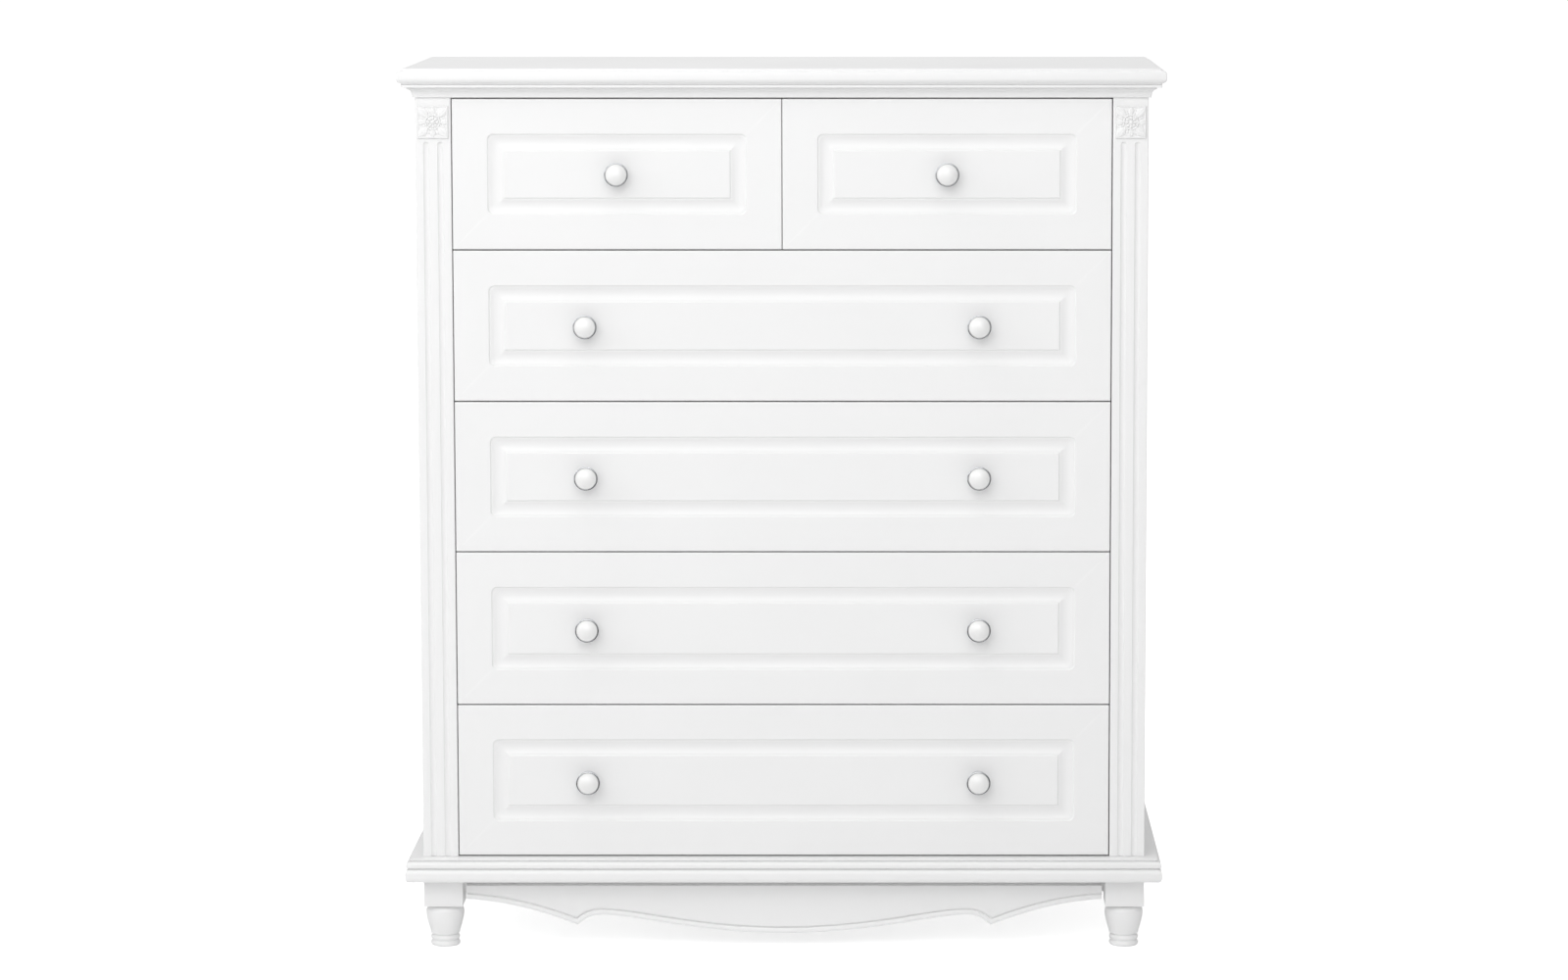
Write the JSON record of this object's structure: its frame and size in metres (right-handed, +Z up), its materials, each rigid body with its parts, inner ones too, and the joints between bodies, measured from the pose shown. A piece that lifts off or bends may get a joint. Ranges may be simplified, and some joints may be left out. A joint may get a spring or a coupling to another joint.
{
  "type": "tall chest of drawers",
  "caption": "Tall white chest with short drawers above full-width ones, fluted posts, moulded top and plinth, scalloped apron, turned feet and round ceramic knobs.",
  "frame": {"origin": "on the floor, under the middle of the whole chest with its knobs", "axes": "+Z up; +X to the right of someone who faces the chest; the drawers open along -Y"},
  "size_m": [0.95, 0.4074, 1.1075],
  "materials": {
    "white_lacquer": "satin white lacquer on fibreboard and wood",
    "drawer_wood": "white-washed board with a matt sealer",
    "back_board": "thin painted hardboard",
    "white_ceramic": "white glaze in a chromed mount",
    "chrome": "polished chrome on the rings, stems and feet of the knobs",
    "slide_steel": "white powder coat on folded steel"
  },
  "bodies": {
    "case": {"top_board": "white_lacquer", "crown_board": "white_lacquer", "floor_board": "white_lacquer", "plinth_board": "white_lacquer", "post_left": "white_lacquer", "post_right": "white_lacquer", "rosette_left": "white_lacquer", "rosette_right": "white_lacquer", "side_panel_left": "white_lacquer", "side_panel_right": "white_lacquer", "rear_batten_left": "drawer_wood", "rear_batten_right": "drawer_wood", "back_panel": "back_board", "divider_shelf": "drawer_wood", "centre_divider": "drawer_wood", "apron": "white_lacquer", "foot_front_left": "white_lacquer", "foot_front_right": "white_lacquer", "foot_back_left": "white_lacquer", "foot_back_right": "white_lacquer", "drawer_top_left_slide_left": "slide_steel", "drawer_top_left_slide_right": "slide_steel", "drawer_top_right_slide_left": "slide_steel", "drawer_top_right_slide_right": "slide_steel", "drawer_row_2_slide_left": "slide_steel", "drawer_row_2_slide_right": "slide_steel", "drawer_row_3_slide_left": "slide_steel", "drawer_row_3_slide_right": "slide_steel", "drawer_row_4_slide_left": "slide_steel", "drawer_row_4_slide_right": "slide_steel", "drawer_row_5_slide_left": "slide_steel", "drawer_row_5_slide_right": "slide_steel"},
    "drawer_top_left": {"drawer_top_left_front": "white_lacquer", "drawer_top_left_box": "drawer_wood", "drawer_top_left_bottom": "back_board", "drawer_top_left_knob": "white_ceramic"},
    "drawer_top_right": {"drawer_top_right_front": "white_lacquer", "drawer_top_right_box": "drawer_wood", "drawer_top_right_bottom": "back_board", "drawer_top_right_knob": "white_ceramic"},
    "drawer_row_2": {"drawer_row_2_front": "white_lacquer", "drawer_row_2_box": "drawer_wood", "drawer_row_2_bottom": "back_board", "drawer_row_2_knob_left": "white_ceramic", "drawer_row_2_knob_right": "white_ceramic"},
    "drawer_row_3": {"drawer_row_3_front": "white_lacquer", "drawer_row_3_box": "drawer_wood", "drawer_row_3_bottom": "back_board", "drawer_row_3_knob_left": "white_ceramic", "drawer_row_3_knob_right": "white_ceramic"},
    "drawer_row_4": {"drawer_row_4_front": "white_lacquer", "drawer_row_4_box": "drawer_wood", "drawer_row_4_bottom": "back_board", "drawer_row_4_knob_left": "white_ceramic", "drawer_row_4_knob_right": "white_ceramic"},
    "drawer_row_5": {"drawer_row_5_front": "white_lacquer", "drawer_row_5_box": "drawer_wood", "drawer_row_5_bottom": "back_board", "drawer_row_5_knob_left": "white_ceramic", "drawer_row_5_knob_right": "white_ceramic"}
  },
  "joints": [
    {"name": "drawer_top_left_travel", "type": "slide", "parent": "case", "child": "drawer_top_left", "axis": [0, -1, 0], "range_m": [0, 0.26]},
    {"name": "drawer_top_right_travel", "type": "slide", "parent": "case", "child": "drawer_top_right", "axis": [0, -1, 0], "range_m": [0, 0.26]},
    {"name": "drawer_row_2_travel", "type": "slide", "parent": "case", "child": "drawer_row_2", "axis": [0, -1, 0], "range_m": [0, 0.26]},
    {"name": "drawer_row_3_travel", "type": "slide", "parent": "case", "child": "drawer_row_3", "axis": [0, -1, 0], "range_m": [0, 0.26]},
    {"name": "drawer_row_4_travel", "type": "slide", "parent": "case", "child": "drawer_row_4", "axis": [0, -1, 0], "range_m": [0, 0.26]},
    {"name": "drawer_row_5_travel", "type": "slide", "parent": "case", "child": "drawer_row_5", "axis": [0, -1, 0], "range_m": [0, 0.26]}
  ]
}
